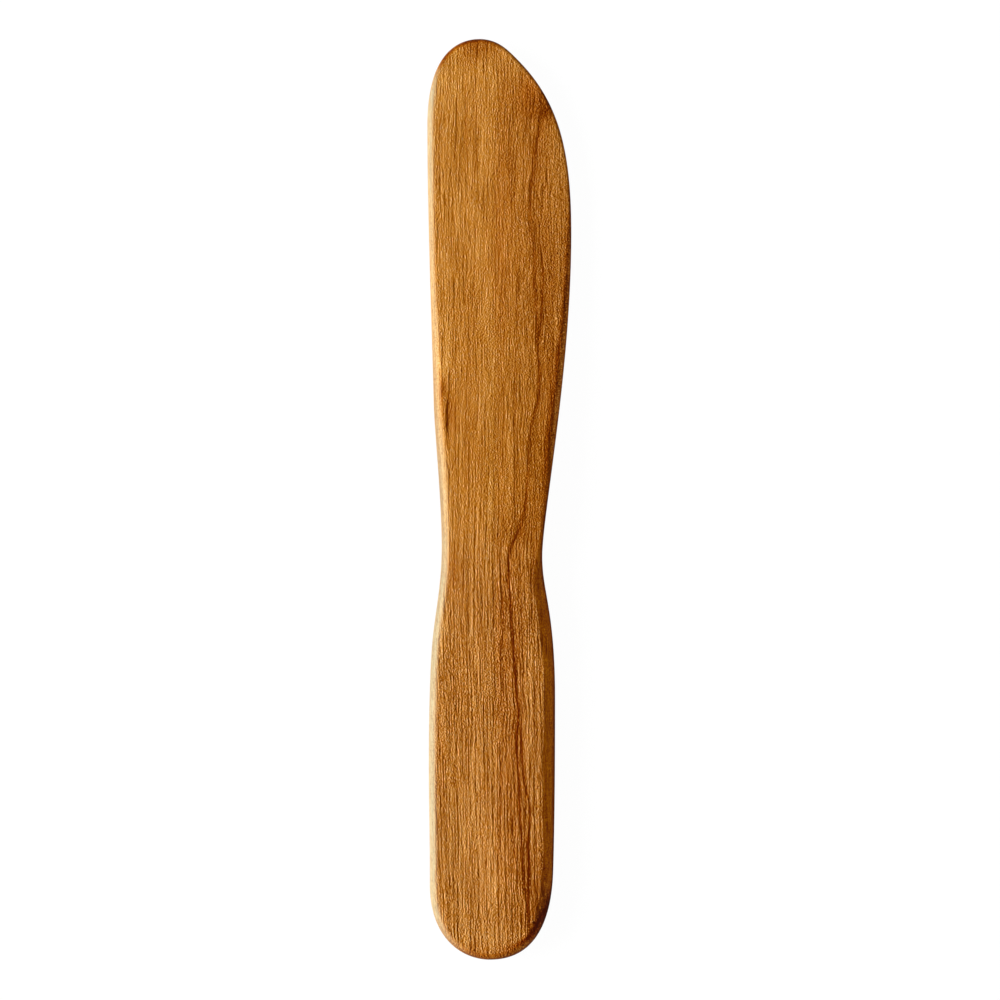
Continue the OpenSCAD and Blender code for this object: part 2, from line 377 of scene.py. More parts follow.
# A faint line near the blade's end, then a strand on the streak's right, on the blade
# and again down the handle
STRAND = [
    (465.4, 102, 0.7, 0.0), (465.4, 114, 0.7, 0.2), (465.2, 130, 0.7, 0.25), (465.4, 146, 0.7, 0.25),
    (465.4, 158, 0.7, 0.0), (466, 172, 0.7, 0.0), (539, 238, 0.9, 0.0), (539, 250, 0.9, 0.25),
    (541, 262, 0.9, 0.35), (542, 272, 1.0, 0.4), (542, 286, 1.0, 0.4), (541.5, 298, 1.0, 0.45),
    (541, 306, 1.0, 0.6), (540, 318, 1.0, 0.4), (540, 330, 0.9, 0.3), (539, 344, 0.9, 0.2),
    (539.5, 356, 0.8, 0.0), (520, 722, 0.8, 0.0), (521, 732, 0.8, 0.5), (521.2, 744, 0.9, 0.7),
    (522, 756, 0.8, 0.6), (523, 768, 0.8, 0.6), (523.5, 780, 0.8, 0.6), (527, 792, 0.8, 0.5),
    (530, 804, 0.9, 1.0), (530, 816, 0.8, 0.8), (529, 828, 0.8, 0.5), (527.3, 840, 1.0, 1.0),
    (528.2, 852, 1.0, 1.1), (529, 864, 1.0, 1.0), (528.3, 876, 1.0, 0.8), (528, 888, 1.0, 0.8),
    (528, 900, 1.0, 1.0), (527.6, 912, 1.1, 0.8), (529, 924, 1.0, 0.4), (529, 934, 0.8, 0.0),
]

# Lines on the streak's left: two short ones near the blade's end, one down the blade
# and one down the handle
LEFT_LINE = [
    (475.4, 102, 0.7, 0.0), (475.4, 114, 0.6, 0.3), (475.5, 130, 0.6, 0.35), (475.3, 145, 0.6, 0.35),
    (475.5, 158, 0.6, 0.45), (475.5, 164, 0.7, 0.6), (475.5, 170, 0.8, 0.0), (476, 176, 0.8, 0.0),
    (494.8, 186, 0.8, 0.0), (494.8, 194, 0.7, 0.3), (494.6, 206, 0.7, 0.3), (494.8, 216, 0.8, 0.0),
    (516, 250, 0.9, 0.0), (516, 270, 0.9, 0.35), (517, 284, 0.9, 0.5), (516, 300, 0.9, 0.5),
    (516.5, 316, 0.9, 0.4), (517, 330, 0.9, 0.4), (517, 342, 0.8, 0.25), (515, 366, 0.8, 0.25),
    (515, 390, 0.9, 0.5), (515, 402, 0.9, 0.4), (514, 420, 0.9, 0.4), (515, 450, 0.9, 0.4),
    (515, 486, 0.8, 0.35), (514, 498, 0.9, 0.45), (512, 510, 0.8, 0.3), (510, 526, 0.8, 0.0),
    (500, 538, 0.8, 0.0), (500, 548, 0.8, 0.5), (500, 564, 0.8, 0.6), (501, 580, 0.8, 0.2),
    (503, 596, 0.8, 0.5), (503, 612, 0.9, 0.75), (503.6, 624, 0.8, 0.5), (502, 638, 0.8, 0.25),
    (500, 648, 0.9, 0.8), (500, 660, 0.8, 0.45), (500, 680, 0.8, 0.0), (500, 708, 0.8, 0.5),
    (500, 722, 0.7, 0.1), (501, 756, 0.8, 0.35), (501, 768, 0.9, 0.7), (501, 780, 0.9, 0.6),
    (500, 792, 0.9, 0.8), (500, 804, 0.9, 0.6), (499.5, 816, 0.8, 0.4), (499, 828, 0.9, 0.8),
    (500.5, 840, 0.8, 0.6), (498, 852, 0.8, 0.6), (498, 864, 0.9, 0.7), (498, 876, 0.8, 0.6),
    (499, 888, 0.7, 0.35), (499, 900, 0.8, 0.5), (499, 912, 0.8, 0.4), (498, 924, 0.8, 0.5),
    (500, 936, 0.8, 0.6), (500, 945, 0.8, 0.0),
]

# Weaker ones: one by the spine near the blade's end, and others beyond the streak
FAR_LINE = [
    (455.5, 102, 0.7, 0.0), (455.4, 114, 0.7, 0.35), (455.5, 128, 0.7, 0.4), (455.3, 140, 0.7, 0.35),
    (453, 150, 0.7, 0.3), (452.6, 165, 0.7, 0.25), (452.6, 176, 0.8, 0.0), (453, 186, 0.8, 0.0),
    (553.5, 240, 0.9, 0.0), (553.5, 248, 0.9, 0.3), (553, 262, 0.9, 0.5), (552, 272, 0.9, 0.5),
    (551, 284, 0.9, 0.5), (552, 300, 0.9, 0.3), (551, 320, 0.9, 0.2), (550.5, 354, 0.9, 0.4),
    (550, 378, 0.9, 0.4), (550, 402, 1.0, 0.5), (549, 414, 0.9, 0.0), (535, 540, 0.8, 0.0),
    (535, 552, 0.8, 0.5), (531, 576, 0.8, 0.3), (530, 588, 0.8, 0.4), (531, 600, 0.8, 0.0),
    (536, 672, 0.8, 0.0), (535, 684, 0.8, 0.4), (535, 696, 0.9, 0.6), (533.5, 708, 0.8, 0.5),
    (533, 720, 0.8, 0.45), (535, 732, 0.8, 0.45), (536, 744, 0.8, 0.35), (536, 760, 0.8, 0.0),
    (512, 816, 0.8, 0.0), (512, 827, 0.8, 0.6), (513, 840, 0.8, 0.4), (516, 852, 0.8, 0.7),
    (516, 864, 0.9, 0.7), (517, 876, 0.8, 0.6), (518, 888, 0.8, 0.3), (518, 896, 0.8, 0.0),
]

# The dark line beside the spreading edge, from the nose of the blade down to the neck
EDGE_LINE = [
    (569, 170, 1.2, 0.0), (568, 205, 1.3, 0.4), (566.3, 245, 1.5, 0.7), (564.8, 277, 1.7, 0.8),
    (562.4, 310, 1.8, 0.8), (559.2, 340, 1.9, 0.8), (557, 354, 1.9, 0.85), (555.8, 372, 1.9, 0.85),
    (554.2, 390, 2.0, 0.85), (552.2, 402, 2.1, 0.85), (550.8, 416, 2.3, 0.85), (549.2, 430, 2.4, 0.85),
    (547.6, 440, 2.3, 0.85), (547, 450, 2.0, 0.8), (546, 464, 1.8, 0.7), (545, 480, 1.6, 0.4),
    (544, 500, 1.4, 0.0),
]

# The short dark check in the face, along the eased edge of the spine
CHECK = [
    (449.8, 360, 0.7, 0.0), (449.8, 370, 0.7, 0.3), (449.6, 386, 0.8, 0.45), (449.0, 397, 0.8, 0.5),
    (447.5, 403, 1.0, 1.1), (447.1, 408, 1.2, 1.6), (447.3, 411, 0.9, 0.9), (447.1, 415, 1.3, 1.7),
    (447.3, 420, 0.9, 0.9), (447.2, 425, 1.0, 1.3), (447.2, 430, 1.1, 1.5), (447.5, 434, 0.8, 0.7),
    (447.8, 440, 0.8, 0.3), (449.0, 456, 0.8, 0.0),
]

# Painted shade: the dark crescent inside the rounded corner of the handle's end, where the eased edge turns
# away from the key light
CORNER_SHADE = [
    (552, 880, 1.2, 0.0), (550, 892, 1.6, 0.3), (547, 902, 1.8, 0.7), (543.6, 911, 2.0, 1.0),
    (539.5, 918, 1.9, 1.1), (535, 925, 1.9, 1.2), (532.3, 931, 2.2, 1.2), (529, 937, 2.8, 1.1),
    (522, 941.5, 4.0, 0.8), (513, 945.5, 5.0, 0.3), (503, 950, 6.0, 0.0),
]

# Soft patches: x, y, half width, half height in pixels, change of tone, change of warmth.
# Most of them were placed where the wood's tone, measured at points 10 by 30 pixels apart,
# was off the photograph's. Those that stand for a mark of the wood are named.
PATCHES = [
    # The tip
    (479, 40, 34, 12, -0.10, 0.35),  # darkened tip
    (478, 48, 12, 7, -0.06, 0.2), (453, 50, 8, 5, 0.07, 0.0), (503, 50, 8, 6, 0.05, 0.0),
    # (436, 55) at the end of the next row is painted shade on the spine's eased edge at the tip
    (503, 52, 8, 8, 0.10, 0.0), (436, 55, 8, 9, -0.14, 0.1),
    # The nose and the upper blade
    (440, 76, 14, 22, 0.07, -0.25),  # pale corner of the tip
    (527, 90, 10, 12, -0.10, 0.70),  # red-brown patch by the nose
    (476, 150, 6, 70, 0.05, -0.10),  # pale stripe down the blade
    (505, 175, 14, 90, -0.04, 0.30),  # warm middle of the blade
    (556, 175, 7, 45, 0.0, -0.15),  # olive wood by the spreading edge
    # (432, 80) at the start of the next row is painted shade on the spine's eased edge below the tip
    (432, 80, 3, 8, -0.08, 0.2), (534, 80, 6, 12, 0.07, 0.0), (537, 97, 7, 6, -0.07, 0.1),
    (542, 110, 8, 9, -0.20, 0.45), (523, 112, 7, 9, -0.11, 0.4), (519, 130, 5, 14, -0.05, 0.0),
    (456, 140, 9, 26, -0.06, -0.15), (473, 140, 5, 12, -0.06, 0.0), (533, 145, 8, 14, -0.06, 0.1),
    (511, 165, 4, 34, -0.06, 0.25), (463, 170, 5, 14, -0.05, 0.0),
    # The blade
    (541, 200, 7, 80, -0.06, 0.2),  # dull wood beyond the streak
    (555, 280, 14, 140, -0.01, 0.5),  # redder wood beside the spreading edge
    (482, 185, 6, 25, -0.05, 0.0), (481, 205, 5, 14, -0.07, 0.0), (503, 215, 4, 20, 0.04, 0.0),
    (530, 215, 10, 35, -0.05, 0.1), (471, 225, 6, 40, 0.05, -0.05), (473, 255, 4, 16, 0.04, 0.0),
    (463, 270, 5, 32, -0.08, 0.0), (500, 275, 14, 50, -0.03, 0.30), (475, 300, 20, 90, -0.02, 0.0),
    (560, 300, 3, 60, 0.03, -0.15), (545, 310, 7, 60, -0.06, -0.05), (481, 340, 6, 60, 0.05, -0.10),
    (533, 340, 4, 30, -0.05, 0.0),
    # The root and the neck
    (442.5, 390, 2.6, 8, -0.28, 0.6),  # small chip in the eased edge of the spine
    (495, 420, 45, 110, -0.03, 0.0),  # duller wood from the root to the neck
    (444, 366, 4, 12, 0.07, 0.0), (438, 385, 4, 24, 0.06, 0.0), (512, 395, 5, 22, -0.04, 0.0),
    (493, 408, 5, 10, -0.07, 0.0), (452, 416, 3.5, 14, -0.05, 0.4), (493, 440, 5, 60, -0.04, 0.0),
    (533, 440, 5, 40, -0.05, 0.0), (487, 455, 14, 22, -0.05, 0.0), (532, 460, 10, 60, -0.05, -0.10),
    (453, 470, 5, 14, -0.07, 0.0), (483, 470, 7, 60, 0.04, 0.0), (532, 470, 16, 120, -0.05, 0.1),
    (544, 490, 5, 25, -0.06, 0.0), (545, 495, 7, 50, -0.07, 0.1), (473, 530, 5, 12, 0.05, 0.0),
    (504, 530, 5, 10, -0.03, 0.0), (520, 530, 14, 14, -0.07, 0.0), (522, 530, 26, 20, -0.05, 0.1),
    # The upper handle
    (521, 600, 4, 34, 0.06, 0.0),  # pale stripe beyond the streak at the neck
    (530, 572, 7, 12, -0.10, 0.0), (453, 574, 5, 16, -0.07, 0.45), (498, 592, 8, 16, -0.04, 0.1),
    (495, 600, 12, 30, -0.05, 0.1), (537, 612, 7, 45, -0.07, 0.0), (522, 615, 10, 35, -0.07, 0.0),
    (522, 618, 10, 14, -0.03, 0.0), (444, 625, 5, 30, 0.10, 0.0), (473, 632, 7, 40, 0.07, 0.0),
    (503, 665, 9, 42, -0.07, 0.35), (455, 670, 8, 40, -0.05, 0.15), (493, 708, 5, 10, -0.06, 0.0),
    # The handle
    (474, 790, 5, 70, 0.07, 0.0),  # pale stripe down the handle
    (540, 745, 6, 24, -0.04, 0.0), (461, 755, 7, 40, -0.06, 0.15), (442, 760, 5, 40, -0.05, 0.20),
    (541, 760, 6, 60, -0.04, 0.0), (437, 770, 5, 110, 0.07, 0.0), (503, 770, 5, 12, 0.06, 0.0),
    (548, 770, 5, 130, -0.05, 0.0), (513, 785, 6, 55, -0.07, 0.4), (496, 800, 9, 60, -0.02, 0.25),
    (526, 800, 14, 130, -0.04, 0.1), (523, 815, 5, 25, -0.07, 0.0), (535, 820, 5, 60, 0.01, 0.05),
    (443, 830, 4, 14, -0.08, 0.0), (478, 845, 8, 20, 0.05, 0.0), (491, 860, 9, 28, 0.06, 0.0),
    # The handle's end
    (456, 880, 8, 30, -0.05, 0.10), (494, 880, 14, 34, 0.03, 0.15), (543, 880, 5, 30, -0.08, 0.2),
    (530, 884, 10, 26, -0.10, 0.1), (493, 888, 5, 10, 0.06, 0.0), (542, 908, 7, 16, -0.14, 0.3),
    (443, 920, 5, 8, 0.05, 0.3), (532, 922, 12, 9, -0.12, 0.2), (488, 936, 16, 8, 0.08, 0.10),
    (492, 951, 26, 6, -0.06, 0.3),
]

# The streak's mean place across the knife, and how much the grain bends along with it:
# the share of its slow bend, and how far its sharp bends reach
STREAK_ACROSS = 4.6
SLOW_BEND, SLOW_SIGMA = 0.12, 3.9
SHARP_REACH = 2.6
LEAN = 0.12  # how far each mark shifts per millimetre of depth, as the grain dips into the plank

x_mm, y_mm, z_mm = points[:, 0], points[:, 1] - LENGTH / 2, points[:, 2]
sunk_x = x_mm + LEAN * (z_mm - half_t)
streak_x, streak_half, streak_deep = path(STREAK, y_mm)
away = sunk_x - streak_x
slow_x = path([row[:2] for row in STREAK], y_mm, SLOW_SIGMA)[0]
bend = (slow_x - STREAK_ACROSS) * SLOW_BEND + (streak_x - slow_x) * np.exp(-((away / SHARP_REACH) ** 2))
grain = np.column_stack([sunk_x - STREAK_ACROSS - bend, y_mm, z_mm])
tone, warm = np.zeros(len(points)), np.zeros(len(points))
for mark_x, mark_y, wide, tall, change, warmer in PATCHES:
    middle_x, middle_y = from_px(mark_x, mark_y)
    off_x = (sunk_x - middle_x) / (wide * PER_PX)
    off_y = (y_mm - middle_y) / (tall * PER_PX)
    over = np.exp(-0.5 * (off_x**2 + off_y**2))
    tone += change * over
    warm += warmer * over

# The bevel of the belly side, the end of the handle and the tip cut across the fibres, and
# have taken more oil; the same darkening is also painted shade on these edges, which turn away
# from the key light: its share at each share of the length
OIL_AND_SHADE_BELLY = [
    (0, 0.5), (0.04, 0.4), (0.07, 0.6), (0.10, 1), (0.39, 1), (0.44, 0.7),
    (0.52, 0.5), (0.58, 0.1), (0.70, 0), (0.90, 0), (0.97, 0.2), (1, 0.6),
]
OIL_AND_SHADE_SPINE = [(0, 0.5), (0.03, 0.3), (0.05, 0), (0.955, 0), (0.975, 0.4), (1, 0.7)]
# The eased edge of the spine, which faces the key light, is painted pale cream as a painted
# highlight: how strong it is and how many pixels wide, at each share of the length, and how
# strong at each share of that width
HIGHLIGHT_RUN = [
    (0, 0), (0.02, 0.4), (0.045, 0.85), (0.08, 1), (0.36, 1), (0.44, 0.85), (0.48, 0.70), (0.58, 0.64),
    (0.61, 0.54), (0.73, 0.56), (0.79, 0.68), (0.87, 0.85), (0.94, 0.95), (0.957, 0.6), (0.97, 0.1),
    (0.98, 0),
]
HIGHLIGHT_WIDE = [
    (0, 5.5), (0.06, 6.2), (0.36, 6.3), (0.46, 6.6), (0.54, 7.8), (0.60, 6.0),
    (0.68, 6.6), (0.74, 4.9), (0.80, 5.0), (0.85, 5.4), (0.94, 5.6), (0.96, 3.6), (1, 2.0),
]
HIGHLIGHT_ACROSS = [(0, 0.74), (0.25, 0.84), (0.6, 0.82), (0.8, 0.68), (1, 0.40), (1.15, 0.16), (1.4, 0)]
HIGHLIGHT_LOST, HIGHLIGHT_LOST_RATE = 0.45, 1.6  # painted highlight lost down the upright side, and how soon
# A thin line of painted shade where the edges turn over, away from the light: how dark it is
# at each share of the length, and its shape over the pixels from the outline
TURN_SHADE_SPINE = [
    (0, 0.10), (0.03, 0.10), (0.06, 0.02), (0.22, 0.05), (0.36, 0.15), (0.50, 0.20), (0.62, 0.14),
    (0.70, 0.04), (0.85, 0.04), (0.95, 0.08), (0.97, 0.16), (1, 0.16),
]
TURN_SHADE_BELLY = [
    (0, 0.12), (0.08, 0.22), (0.30, 0.22), (0.42, 0.14), (0.55, 0.12), (0.70, 0.10), (0.80, 0.16),
    (1, 0.14),
]
SHADE_LINE_SPINE = [(0, 0.6), (1.2, 1), (2.2, 1), (3.8, 0)]
SHADE_LINE_BELLY = [(0, 1), (1.2, 1), (2.4, 0)]
EASED_CALM = 0.4  # how much of the side's calmer figure the inner half of the eased edge has

# For each point: its distance inside the outline, the share of the length at the nearest edge,
# its side of the knife, its oil and painted shade, how calm its figure is, and how far down the upright
# side it is
inset, edge_share = np.zeros(len(points)), np.zeros(len(points))
from_spine = np.zeros(len(points), dtype=bool)
rim_oil_and_shade, calm, below = np.zeros(len(points)), np.zeros(len(points)), np.zeros(len(points))
oil_and_shade = np.where(on_belly, table(share, OIL_AND_SHADE_BELLY), table(share, OIL_AND_SHADE_SPINE))
for k in range(ring_count):
    here = slice(k * count, (k + 1) * count)
    from_face = min(k, ring_count - 1 - k)
    inset[here] = np.linalg.norm(rings[k][:, :2] - outline, axis=1)
    edge_share[here], from_spine[here] = share, ~on_belly
    rim_oil_and_shade[here] = oil_and_shade if from_face > 0 else 0
    below[here] = max(0, from_face - len(TURNS) + 1) / (SIDES // 2)
    calm[here] = 1 if len(TURNS) // 2 < k < ring_count - len(TURNS) // 2 else EASED_CALM
spine_side = np.repeat([fractions > 0.5], rungs - 1, axis=0)
nearest = np.where(spine_side[..., None], spine[1:rungs, None], belly[1:rungs, None])
gap = np.linalg.norm(plan - nearest, axis=2)
for lower in (0, 1):
    here = slice(ring_count * count + lower * gap.size, ring_count * count + (lower + 1) * gap.size)
    inset[here], from_spine[here] = gap.ravel(), spine_side.ravel()
    edge_share[here] = nearest[..., 1].ravel() / LENGTH
inset /= PER_PX
highlight_side = from_spine * (1 - HIGHLIGHT_LOST * np.minimum(1, HIGHLIGHT_LOST_RATE * below))
highlight_over = table(inset / table(edge_share, HIGHLIGHT_WIDE), HIGHLIGHT_ACROSS)
painted_highlight = table(edge_share, HIGHLIGHT_RUN) * highlight_side * highlight_over
turn_shade = np.where(from_spine, table(edge_share, TURN_SHADE_SPINE), table(edge_share, TURN_SHADE_BELLY))
rim_shade_line = turn_shade * (1 - below) * np.where(from_spine, table(inset, SHADE_LINE_SPINE), table(inset, SHADE_LINE_BELLY))


def write(name, columns):
    """Keeps three values of each point under a name that the material reads."""
    made = mesh.attributes.new(name, "FLOAT_VECTOR", "POINT")
    made.data.foreach_set("vector", np.column_stack(columns).astype(np.float32).ravel())


write("grain", [grain])
write("streak", [away, streak_half * PER_PX, streak_deep])
for name, rows in (("strand", STRAND), ("left_line", LEFT_LINE), ("far_line", FAR_LINE),
                   ("edge_line", EDGE_LINE), ("check", CHECK), ("corner", CORNER_SHADE)):
    line_x, line_half, line_deep = path(rows, y_mm)
    write(name, [sunk_x - line_x, line_half * PER_PX, line_deep])
# The painted highlight, the oil with its painted shade, and the painted shade of the turned edges
write("rim_highlight_oil_shade", [painted_highlight, rim_oil_and_shade, rim_shade_line])
write("marks", [tone, warm, calm])

# The wood: one procedural material, its patterns drawn out along the grain


class Field:
    """A value in a material, worked out with nodes."""

    def __init__(self, tree, socket):
        self.tree, self.socket = tree, socket

    def math(self, kind, *others, clamp=False):
        """This value and others, put together by one node."""
        node = self.tree.nodes.new("ShaderNodeMath")
        node.operation, node.use_clamp = kind, clamp
        for slot, value in zip(node.inputs, (self, *others)):
            if isinstance(value, Field):
                self.tree.links.new(value.socket, slot)
            else:
                slot.default_value = value
        return Field(self.tree, node.outputs[0])

    def __add__(self, other):
        return self.math("ADD", other)

    def __sub__(self, other):
        return self.math("SUBTRACT", other)

    def __mul__(self, other):
        return self.math("MULTIPLY", other)

    def ramp(self, low, high, to_low=0.0, to_high=1.0):
        """A soft step between two values."""
        node = self.tree.nodes.new("ShaderNodeMapRange")
        node.interpolation_type = "SMOOTHSTEP"
        self.tree.links.new(self.socket, node.inputs["Value"])
        for name, value in (("From Min", low), ("From Max", high), ("To Min", to_low), ("To Max", to_high)):
            node.inputs[name].default_value = value
        return Field(self.tree, node.outputs["Result"])


material = bpy.data.materials.new("oiled_wood")
material.use_nodes = True
tree = material.node_tree
nodes, links = tree.nodes, tree.links
shader = nodes["Principled BSDF"]


def attribute(name):
    """The three values that the mesh keeps under a name."""
    node = nodes.new("ShaderNodeAttribute")
    node.attribute_name = name
    split = nodes.new("ShaderNodeSeparateXYZ")
    links.new(node.outputs["Vector"], split.inputs[0])
    return [Field(tree, output) for output in split.outputs]


grain_u, grain_v, grain_w = attribute("grain")
mark_tone, mark_warm, mark_calm = attribute("marks")
# The painted highlight, the oil with its painted shade, and the painted shade of the turned edges
rim_highlight, oil_and_shade_amount, rim_shade = attribute("rim_highlight_oil_shade")
# The figure is calmer on the blade than on the handle, and changes over at the neck
NECK_TOP, NECK_FOOT = 2.0, -22.0
handle_side = grain_v.ramp(NECK_TOP, NECK_FOOT)


def on_side(blade, handle):
    """An amount that changes from the blade's to the handle's."""
    return handle_side * (handle - blade) + blade


def figure(across, along, shift, detail=1.0, roughness=0.5, aside=0.0):
    """Noise drawn out along the grain: its size in millimetres across it and along it.

    Each figure is moved by its own shift and slanted a little, so that no two line up.
    """
    u = (grain_u + aside) * (1 / across) + shift
    v = grain_v * (1 / along) + u * 0.618 + shift * 1.7
    w = grain_w * (1 / across) + u * 0.37 + v * 0.23 + shift * 0.6
    place = nodes.new("ShaderNodeCombineXYZ")
    for slot, part in zip(place.inputs, (u, v, w)):
        links.new(part.socket, slot)
    noise = nodes.new("ShaderNodeTexNoise")
    noise.noise_dimensions = "3D"
    links.new(place.outputs[0], noise.inputs["Vector"])
    noise.inputs["Scale"].default_value = 1.0
    noise.inputs["Detail"].default_value = detail
    noise.inputs["Roughness"].default_value = roughness
    return Field(tree, noise.outputs["Fac"])


wander = (figure(0.6, 2.0, 51.1, detail=0.0) - 0.5) * 0.24  # how far the fibres wander, in millimetres


def crisp(across, along, shift, reach=0.28, share=0.4):
    """Fine lines: noise less part of what lies beside it, which leaves thin, sharp strokes."""
    left, middle, right = (
        figure(across, along, shift, detail=0.0, aside=wander + aside) for aside in (-reach, 0.0, reach)
    )
    return middle - (left + right - 1.0) * share


# Bands of tone, crowds of pores, long and short pores, fibres, speckle, and the streak's
# gaps: the size across the grain and along it in millimetres, and the shift
bands_wide = figure(3.6, 260.0, 3.1)
bands_fine = figure(0.9, 120.0, 7.7)
line_crowd = figure(2.2, 30.0, 29.9)
line_long = crisp(0.23, 16.0, 11.3)
line_short = crisp(0.22, 4.6, 23.3)
fibre = crisp(0.20, 2.1, 17.9)
speckle = crisp(0.17, 0.18, 37.1, reach=0.22, share=0.33)
pore = (line_long + (line_crowd - 0.5) * 0.14 + on_side(0, 0.02)).ramp(0.54, 0.70)
dash = (line_short + (line_crowd - 0.5) * 0.10 + on_side(0, 0.03)).ramp(0.55, 0.72)
streak_break = figure(0.5, 9.0, 41.7, roughness=0.6).ramp(0.30, 0.60, 0.70, 1.0)


def dark_line(line):
    """Darkness of a line along its path, from its distance, half width and strength."""
    off, half, strong = line
    spread = ((off * off) * -0.5).math("DIVIDE", half * half).math("EXPONENT")
    return spread * strong * streak_break


streak = attribute("streak")
streak_dark = dark_line(streak)
streaks = streak_dark + dark_line(attribute("strand"))
check_dark = dark_line(attribute("check"))
HALO_MIDDLE, HALO_HALF = 0.7, 2.4  # millimetres beside the streak that are tinted with it
halo = (streak[0] - HALO_MIDDLE).math("ABSOLUTE").ramp(HALO_HALF, 0.0) * streak[2]

# What the lines take off the wood's tone, and how much redder they make it
darker = streaks * on_side(0.54, 0.74) + check_dark * 0.52 + halo * 0.03
redder = streaks * 1.3 + check_dark * 0.4 + halo * 0.2
# The corner's line is painted shade
for name, its_dark, its_red in (("left_line", 0.38, 0.5), ("far_line", 0.32, 0.5),
                                ("edge_line", 0.35, 0.8), ("corner", 0.42, 1.7)):
    line = dark_line(attribute(name))
    darker = darker + line * its_dark
    redder = redder + line * its_red

MIDDLE_TONE, MIDDLE_WARMTH = 0.545, 0.05
bands = (bands_wide - 0.5) * 0.11 + (bands_fine - 0.5) * 0.23
fine_grain = (
    (fibre - 0.5) * on_side(0.25, 0.41)
    + (speckle - 0.5) * on_side(1.42, 2.07)
    - pore * on_side(0.18, 0.31)
    - dash * on_side(0.14, 0.26)
)
smoothed = (oil_and_shade_amount * -0.6 + 1.0) * (mark_calm * -0.4 + 1.0)
# The painted highlight is lighter in the middle of its band, and the painted shade of the turned edges
# takes tone off
painted_rim_tone = rim_highlight * (rim_highlight * -1.0 + 1.0) * 0.4 - rim_shade
value = bands + fine_grain * smoothed - darker + painted_rim_tone + mark_tone + MIDDLE_TONE
warmth = (bands_wide - 0.5) * -0.5 + mark_warm * 0.7 + on_side(0, 0.19) + redder + MIDDLE_WARMTH


def linear(r, g, b):
    """A colour as the photograph shows it, from 0 to 255, as linear light."""
    shown = [c / 255 for c in (r, g, b)]
    return tuple(((c + 0.055) / 1.055) ** 2.4 if c > 0.04045 else c / 12.92 for c in shown) + (1.0,)


def mixed(under, amount, colour, kind="MULTIPLY"):
    """A colour multiplied with another, or mixed into it, by an amount that changes over the surface."""
    node = nodes.new("ShaderNodeMix")
    node.data_type, node.blend_type, node.clamp_factor = "RGBA", kind, False
    node.inputs["B"].default_value = colour
    links.new(under, node.inputs["A"])
    links.new(amount.socket, node.inputs["Factor"])
    return node.outputs["Result"]


# The wood's colours from its darkest lines to its palest fibres
TONES = [
    (0.0, (80, 30, 0)), (0.22, (124, 58, 1)), (0.37, (158, 89, 9)), (0.52, (188, 121, 35)),
    (0.67, (213, 151, 67)), (0.82, (235, 178, 97)), (1.0, (248, 207, 138)),
]
# The pale cream of the painted highlight on the spine's eased edge
HIGHLIGHT_CREAM = (194, 178, 141)
# What redder and greener wood is multiplied by, then wood darkened by oil and painted shade, and wood in
# the painted shade of the turned edges
REDDER = (1.0, 0.74, 0.55, 1.0)
GREENER = (0.93, 1.0, 0.90, 1.0)
OIL_AND_SHADE_TINT = (0.84, 0.62, 0.06, 1.0)
SHADED = (0.5, 0.46, 0.42, 1.0)

tones = nodes.new("ShaderNodeValToRGB")
tones.color_ramp.interpolation = "LINEAR"
while len(tones.color_ramp.elements) < len(TONES):
    tones.color_ramp.elements.new(0.5)
for element, (place, colour) in zip(tones.color_ramp.elements, TONES):
    element.position, element.color = place, linear(*colour)
links.new(value.socket, tones.inputs["Fac"])

# Where the painted highlight lays the pale cream over the wood, broken up by the figure
highlight_amount = rim_highlight * ((speckle - 0.5) * 1.1 + (fibre - 0.5) * 0.9 + 1.0)
colour = mixed(tones.outputs["Color"], warmth.math("MAXIMUM", 0.0).math("MINIMUM", 1.8), REDDER)
colour = mixed(colour, (warmth * -1.0).math("MAXIMUM", 0.0, clamp=True), GREENER)
# Oil and painted shade on the eased edges
colour = mixed(colour, oil_and_shade_amount, OIL_AND_SHADE_TINT)
colour = mixed(colour, highlight_amount.math("MAXIMUM", 0.0, clamp=True), linear(*HIGHLIGHT_CREAM), kind="MIX")
# The painted shade of the turned edges
colour = mixed(colour, (rim_shade * 2.2).math("MINIMUM", 1.0), SHADED)
links.new(colour, shader.inputs["Base Color"])

# Gloss and relief follow the figure, and the dark lines lie a little deeper
RELIEF_DEPTH = 0.05 * MM
MIDDLE_ROUGH, LEAST_ROUGH = 0.42, 0.2
rough = (fibre - 0.5) * 0.25 + pore * 0.12 + dash * 0.08 + (speckle - 0.5) * 0.2 - mark_calm * 0.08
rough = (rough + MIDDLE_ROUGH).math("MAXIMUM", LEAST_ROUGH, clamp=True)
links.new(rough.socket, shader.inputs["Roughness"])
shader.inputs["Specular IOR Level"].default_value = 0.08
shader.inputs["Specular Tint"].default_value = (1.0, 0.8, 0.3, 1.0)

lines_cut = (streak_dark + check_dark) * 0.3
relief = (fibre - 0.5) * 0.6 + (speckle - 0.5) * 0.8 - pore * 0.5 - dash * 0.4 - lines_cut
bump = nodes.new("ShaderNodeBump")
bump.inputs["Strength"].default_value = 1.0
bump.inputs["Distance"].default_value = RELIEF_DEPTH
links.new(relief.socket, bump.inputs["Height"])
links.new(bump.outputs["Normal"], shader.inputs["Normal"])
mesh.materials.append(material)

# Floor: a pale sheet that the camera sees as white, with the knife's soft shadow on it
FLOOR_HALF = 3  # metres
SHEET_GREY = 0.4
WHITE = 1.1  # strength of the white that only the camera sees
WHITE_SHARE = 0.88  # its share of the floor; the rest shows the shadow


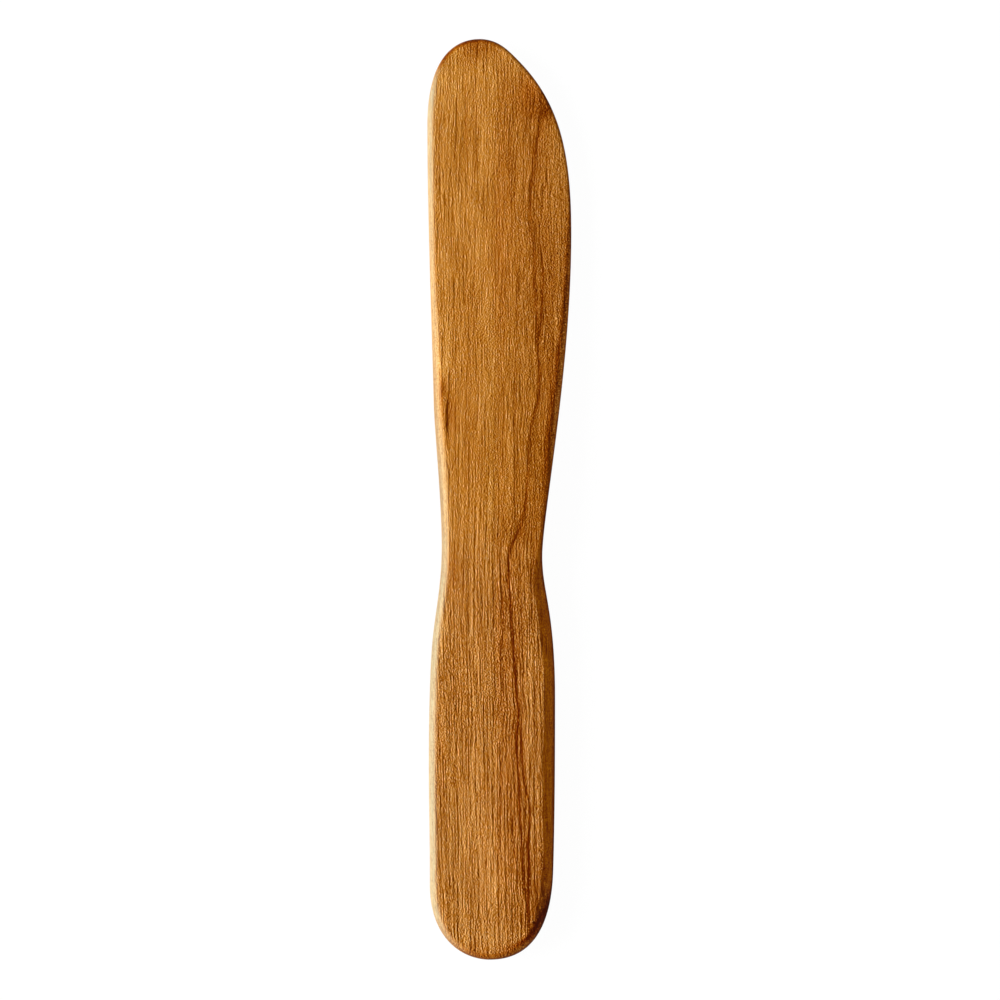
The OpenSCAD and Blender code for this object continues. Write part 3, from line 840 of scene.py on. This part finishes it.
def paper_material():
    """The floor's sheet: plain white to the camera, and a grey that takes the shadow."""
    paper = bpy.data.materials.new("paper")
    paper.use_nodes = True
    nodes, links = paper.node_tree.nodes, paper.node_tree.links
    nodes.clear()
    sheet = nodes.new("ShaderNodeBsdfDiffuse")
    sheet.inputs["Color"].default_value = (SHEET_GREY, SHEET_GREY, SHEET_GREY, 1)
    white = nodes.new("ShaderNodeEmission")
    white.inputs["Strength"].default_value = WHITE
    ray = nodes.new("ShaderNodeLightPath")
    portion = nodes.new("ShaderNodeMath")
    portion.operation = "MULTIPLY"
    portion.inputs[1].default_value = WHITE_SHARE
    blend = nodes.new("ShaderNodeMixShader")
    out = nodes.new("ShaderNodeOutputMaterial")
    links.new(ray.outputs["Is Camera Ray"], portion.inputs[0])
    links.new(portion.outputs[0], blend.inputs[0])
    links.new(sheet.outputs[0], blend.inputs[1])
    links.new(white.outputs[0], blend.inputs[2])
    links.new(blend.outputs[0], out.inputs[0])
    return paper


floor_mesh = bpy.data.meshes.new("floor")
floor_corners = [(x * FLOOR_HALF, y * FLOOR_HALF, 0) for x, y in ((-1, -1), (1, -1), (1, 1), (-1, 1))]
floor_mesh.from_pydata(floor_corners, [], [(0, 1, 2, 3)])
floor_mesh.materials.append(paper_material())
floor = bpy.data.objects.new("floor", floor_mesh)
scene.collection.objects.link(floor)

# Light: a soft key from the spine's side, low enough to bring out the grain, a weak fill
# from the other side, and a pale room
ROOM_STRENGTH = 0.34
LIGHT_AWAY = 1.2  # metres from the knife

world = bpy.data.worlds.new("room")
world.use_nodes = True
room = world.node_tree.nodes["Background"]
room.inputs["Color"].default_value = (1, 1, 1, 1)
room.inputs["Strength"].default_value = ROOM_STRENGTH
scene.world = world


def soft_light(name, azimuth, elevation, width, height, power):
    """A wide lamp turned to the knife, in degrees, metres and watts, that makes no highlight."""
    data = bpy.data.lights.new(name, "AREA")
    data.shape, data.size, data.size_y, data.energy = "RECTANGLE", width, height, power
    lamp = bpy.data.objects.new(name, data)
    turn, rise = math.radians(azimuth), math.radians(elevation)
    outward = Vector((math.sin(turn) * math.cos(rise), math.cos(turn) * math.cos(rise), math.sin(rise)))
    lamp.location = outward * LIGHT_AWAY
    lamp.rotation_mode = "QUATERNION"
    lamp.rotation_quaternion = outward.to_track_quat("Z", "Y")
    lamp.visible_glossy = False
    scene.collection.objects.link(lamp)


soft_light("key", azimuth=-88, elevation=27, width=1.0, height=0.9, power=28.5)
soft_light("fill", azimuth=90, elevation=14, width=1.0, height=0.5, power=3.6)

# Camera: straight above, with the photograph's scale at half the knife's height
LENS, SENSOR = 150, 36
CAMERA_AT = (0.12, -0.21)  # millimetres from the knife's middle
FRAME_PX = 1000

camera_data = bpy.data.cameras.new("camera")
camera_data.lens, camera_data.sensor_width = LENS, SENSOR
camera_data.clip_start, camera_data.clip_end = 0.01, 10
camera = bpy.data.objects.new("camera", camera_data)
camera_height = half_t + FRAME_PX * PER_PX * LENS / SENSOR
camera.location = Vector((*CAMERA_AT, camera_height)) * MM
scene.collection.objects.link(camera)
scene.camera = camera
scene.view_settings.view_transform = "Standard"
